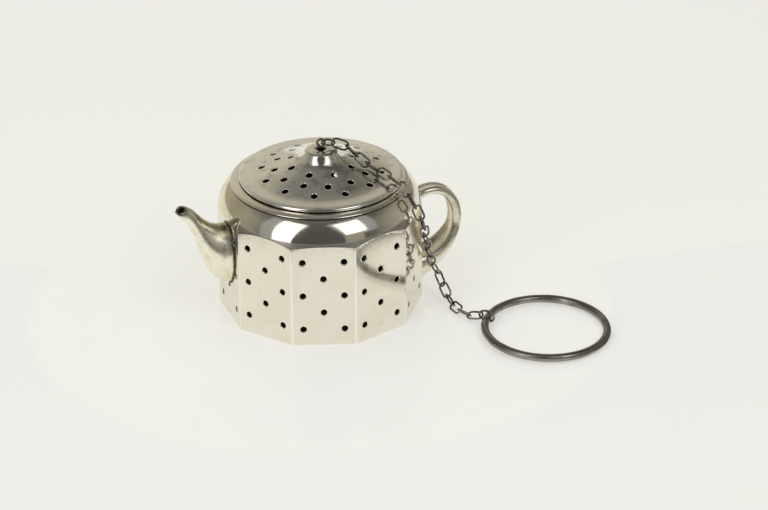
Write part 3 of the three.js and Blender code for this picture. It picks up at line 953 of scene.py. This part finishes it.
def eye():
    """A wire bent to an eye, with both ends down through the knob."""
    apart = 0.24
    start = math.asin(apart / EYE_RADIUS)
    loop = [(math.sin(t) * EYE_RADIUS, EYE_HEIGHT - math.cos(t) * EYE_RADIUS)
            for t in np.linspace(start + 0.25, 2 * math.pi - start - 0.25, 30)]
    leg = [(apart, 30.7), (apart, 31.5), (apart, 32.3), (apart, 33.0), (apart + 0.01, 33.32)]
    line = spline(leg + loop + [(-x, z) for x, z in reversed(leg)], 110)
    turn = math.radians(EYE_TURN)
    u = np.array([math.cos(turn), math.sin(turn), 0])
    path = [u * x + np.array([0, 0, z]) for x, z in line]
    skin = Skin()
    wire_path(skin, path, np.cross(u, (0, 0, 1)), LINK_WIRE / 2)
    # Painted shade on the legs, darker where they go down into the knob.
    finish_piece("eye_wire", skin, CHAIN, "lid", "dark_silver", ["knob_eye"],
                 shift=LID_SHIFT, soot=lambda places: smoothstep(33.4, 32.9, places[:, 2]) * 0.8)


# ---- chain and rings ----------------------------------------------------------------------------
def node_axes(node):
    """Middle of a node and its axes, the longest first, from its own points."""
    vertices = frame["nodes"][node].data.vertices
    points = np.zeros(len(vertices) * 3)
    vertices.foreach_get("co", points)
    points = points.reshape(-1, 3) / MM
    middle = (points.max(0) + points.min(0)) / 2 if node == "hang_ring" else points.mean(0)
    axes = np.linalg.svd(points - points.mean(0), full_matrices=False)[2]
    return middle, axes


def link_outline(length, width, wire):
    """A half circle at each end, with straight sides between them."""
    bend, straight = (width - wire) / 2, (length - width) / 2
    turns = [2 * math.pi * (k + 0.5) / LINK_POINTS for k in range(LINK_POINTS)]
    return [(bend * math.cos(t) + math.copysign(straight, math.cos(t)), bend * math.sin(t))
            for t in turns]


def loop_piece(name, node, length, width, wire):
    """A link or a small ring, where its node lies. The node and its body share one name."""
    middle, axes = node_axes(node)
    skin = Skin()
    plain = length == width
    outline = circle((length - wire) / 2, LOOP_POINTS) if plain else link_outline(length, width, wire)
    wire_loop(skin, middle, axes[0], axes[1], outline, wire / 2 - LINK_THINNING)

    def soot(places):
        """Painted shade: blacker inside the loop, where the wire hung through it passes."""
        across = (places - middle) @ axes[:2].T
        edge = np.array([length, width]) / 2 - wire * 0.4
        return smoothstep(1.02, 0.90, np.hypot(*(across / edge).T)) * 0.75

    finish_piece(name, skin, CHAIN, node, "dark_silver", [node], soot=soot)


def chain():
    for node in sorted(n for n in frame["nodes"] if n.startswith("chain_link_")):
        loop_piece(node.replace("chain_link", "link"), node, LINK_LENGTH, LINK_WIDTH, LINK_WIRE)
    loop_piece("first_ring", "eye_ring", 2 * EYE_RING_OUTER, 2 * EYE_RING_OUTER, LINK_WIRE)
    loop_piece("jump_ring", "ring_jump", 2 * JUMP_OUTER, 2 * JUMP_OUTER, JUMP_WIRE)


def big_ring():
    """The wire ring, with the faint groove of its soldered butt joint."""
    middle, axes = node_axes("hang_ring")
    turns = around(RING_POINTS)
    groove = near(turns, math.radians(40), 0.012) * 0.09
    swell = 0.012 * np.sin(3 * turns + 0.5) + 0.008 * np.sin(7 * turns)
    radii = RING_WIRE / 2 - 0.02 + swell - groove
    skin = Skin()
    wire_loop(skin, middle, axes[0], axes[1], circle(RING_RADIUS, RING_POINTS), radii, sides=24)
    finish_piece("wire_ring", skin, DARK, "hang_ring", "dark_silver", ["hang_ring"])


pot_wall()
base()
neck()
spout()
handle()
pierced_lid()
skirt()
knob()
eye()
chain()
big_ring()


# ---- stage and light ----------------------------------------------------------------------------
FLOOR_RADIUS = 4.0            # in metres, as is everything on the stage
FLOOR_DROP = 0.00005
AIM_HEIGHT = 0.015            # the lamps aim at the middle of the pot


def glowing(name, base, glow, strength):
    """A new material with a glow of its own, and its shader."""
    material = bpy.data.materials.new(name)
    material.use_nodes = True
    shader = material.node_tree.nodes["Principled BSDF"]
    shader.inputs["Base Color"].default_value = (*base, 1)
    shader.inputs["Emission Color"].default_value = (*glow, 1)
    shader.inputs["Emission Strength"].default_value = strength
    return material, shader


def floor():
    mesh = bpy.data.meshes.new("floor")
    points = [(x, y, -FLOOR_DROP) for x, y in circle(FLOOR_RADIUS, 64)]
    mesh.from_pydata(points, [], [tuple(range(len(points)))])
    material, shader = glowing("floor", (0.80, 0.80, 0.77), (1.0, 1.0, 0.955), 0.42)
    shader.inputs["Roughness"].default_value = 0.14
    shader.inputs["Specular IOR Level"].default_value = 0.3
    mesh.materials.append(material)
    table = put_in_scene("floor", mesh)


def face_object(thing, azimuth, elevation, distance, height=0.0):
    back = direction(azimuth, elevation)
    thing.location = back * distance + Vector((0, 0, height))
    thing.rotation_euler = (-back).to_track_quat("-Z", "Y").to_euler()


def lamp(name, azimuth, elevation, distance, width, height, radiance, glossy=True):
    """A soft box that faces the object. Radiance is what a mirror would show of it."""
    data = bpy.data.lights.new(name, "AREA")
    data.shape = "RECTANGLE"
    data.size, data.size_y = width, height
    data.energy = radiance * math.pi * width * height
    light = put_in_scene(name, data)
    face_object(light, azimuth, elevation, distance, AIM_HEIGHT)
    light.visible_glossy = glossy


def only_reflected(mesh, name, colour, strength):
    """Gives a sheet an even glow and shows it to reflections alone."""
    mesh.materials.append(glowing(name, (0, 0, 0), colour, strength)[0])
    sheet = put_in_scene(name, mesh)
    sheet.visible_camera = False
    sheet.visible_diffuse = False
    sheet.visible_shadow = False
    return sheet


def card(name, azimuth, elevation, distance, width, height, colour, strength):
    """A sheet that faces the object and only shows in reflections."""
    w, h = width / 2, height / 2
    mesh = bpy.data.meshes.new(name)
    mesh.from_pydata([(-w, -h, 0), (w, -h, 0), (w, h, 0), (-w, h, 0)], [], [(0, 1, 2, 3)])
    sheet = only_reflected(mesh, name, colour, strength)
    face_object(sheet, azimuth, elevation, distance)


def dark_ground():
    """The ground beyond the white table in front, which only reflections see."""
    outer, half_angle, steps = 1.6, 105, 42
    lift = Vector((0, 0, 0.0003))
    reach = PANEL_TOP / math.tan(math.radians(VIEW_ELEVATION)) * 1.045
    points = []
    for inside in (True, False):
        for turn in np.linspace(-half_angle, half_angle, steps + 1):
            side = math.cos(math.radians(turn / 2))
            inner = math.sqrt(CORNER_RADIUS ** 2 + reach ** 2 + 2 * CORNER_RADIUS * reach * side) * MM
            points.append(direction(VIEW_AZIMUTH + turn, 0) * (inner if inside else outer) + lift)
    faces = [(i, i + 1, i + steps + 2, i + steps + 1) for i in range(steps)]
    mesh = bpy.data.meshes.new("dark_ground")
    mesh.from_pydata(points, [], faces)
    only_reflected(mesh, "dark_ground", (1.0, 0.97, 0.90), 0.125)


def ramp_node(tree, value, stops):
    """A colour for each value of -1 to 1, blended between the stops."""
    nodes, links = tree.nodes, tree.links
    share = nodes.new("ShaderNodeMapRange")
    share.inputs["From Min"].default_value = -1
    links.new(value, share.inputs["Value"])
    ramp = nodes.new("ShaderNodeValToRGB")
    while len(ramp.color_ramp.elements) < len(stops):
        ramp.color_ramp.elements.new(0.5)
    for element, (spot, colour) in zip(ramp.color_ramp.elements, stops):
        element.position = (spot + 1) / 2
        element.color = (*colour, 1)
    links.new(share.outputs["Result"], ramp.inputs["Fac"])
    return ramp.outputs["Color"]


def world():
    """A room that is pale behind the object, dim behind it to the right, and dark in front."""
    scene_world = bpy.data.worlds.new("room")
    bpy.context.scene.world = scene_world
    scene_world.use_nodes = True
    tree = scene_world.node_tree
    nodes, links = tree.nodes, tree.links
    place = nodes.new("ShaderNodeTexCoord").outputs["Generated"]

    def along(towards):
        dot = nodes.new("ShaderNodeVectorMath")
        dot.operation = "DOT_PRODUCT"
        dot.inputs[1].default_value = towards
        links.new(place, dot.inputs[0])
        return dot.outputs["Value"]

    def blend(kind, share, a, b):
        node = nodes.new("ShaderNodeMix")
        node.data_type = "RGBA"
        node.blend_type = kind
        for socket, value in (("Factor", share), ("A", a), ("B", b)):
            if isinstance(value, bpy.types.NodeSocket):
                links.new(value, node.inputs[socket])
            else:
                node.inputs[socket].default_value = value
        return node.outputs["Result"]

    pale = ramp_node(tree, along((0, 0, 1)), [
        (0.0, (0.60, 0.57, 0.50)), (0.35, (0.58, 0.55, 0.46)), (0.55, (0.52, 0.49, 0.41)),
        (0.78, (0.23, 0.22, 0.20)), (1.0, (0.19, 0.185, 0.18))])
    sideways = ramp_node(tree, along(direction(VIEW_AZIMUTH + 90, 0)), [
        (-1.0, (0.70,) * 3), (-0.55, (0.74,) * 3), (-0.30, (1.0,) * 3), (0.05, (0.95,) * 3),
        (0.32, (0.42,) * 3), (0.7, (0.50,) * 3), (1.0, (0.66,) * 3)])
    front = ramp_node(tree, along(direction(VIEW_AZIMUTH, 0)), [
        (-0.25, (0.0,) * 3), (0.15, (0.4,) * 3), (0.5, (0.88,) * 3), (0.8, (1.0,) * 3)])
    back = blend("MULTIPLY", 1.0, pale, sideways)
    room = blend("MIX", front, back, (0.083, 0.083, 0.080, 1))
    links.new(room, nodes["Background"].inputs["Color"])


floor()
dark_ground()
world()
lamp("fill", 0, 90, 1.2, 2.0, 2.0, 0.47, glossy=False)
lamp("window_left", VIEW_AZIMUTH - 41, 31, 0.7, 0.30, 0.82, 1.25)
lamp("window_right", VIEW_AZIMUTH + 43, 42, 0.7, 0.30, 0.46, 1.3)
card("curtain_left", VIEW_AZIMUTH - 49, 30, 0.8, 0.58, 0.98, (0.95, 0.97, 1.0), 0.34)
card("curtain_right", VIEW_AZIMUTH + 49, 42, 0.8, 0.58, 0.70, (0.95, 0.97, 1.0), 0.30)
card("doorway", VIEW_AZIMUTH + 39, 11, 0.8, 0.30, 0.34, (1.0, 0.93, 0.80), 0.30)

scene = bpy.context.scene
scene.view_settings.view_transform = "Standard"
scene.view_settings.look = "None"
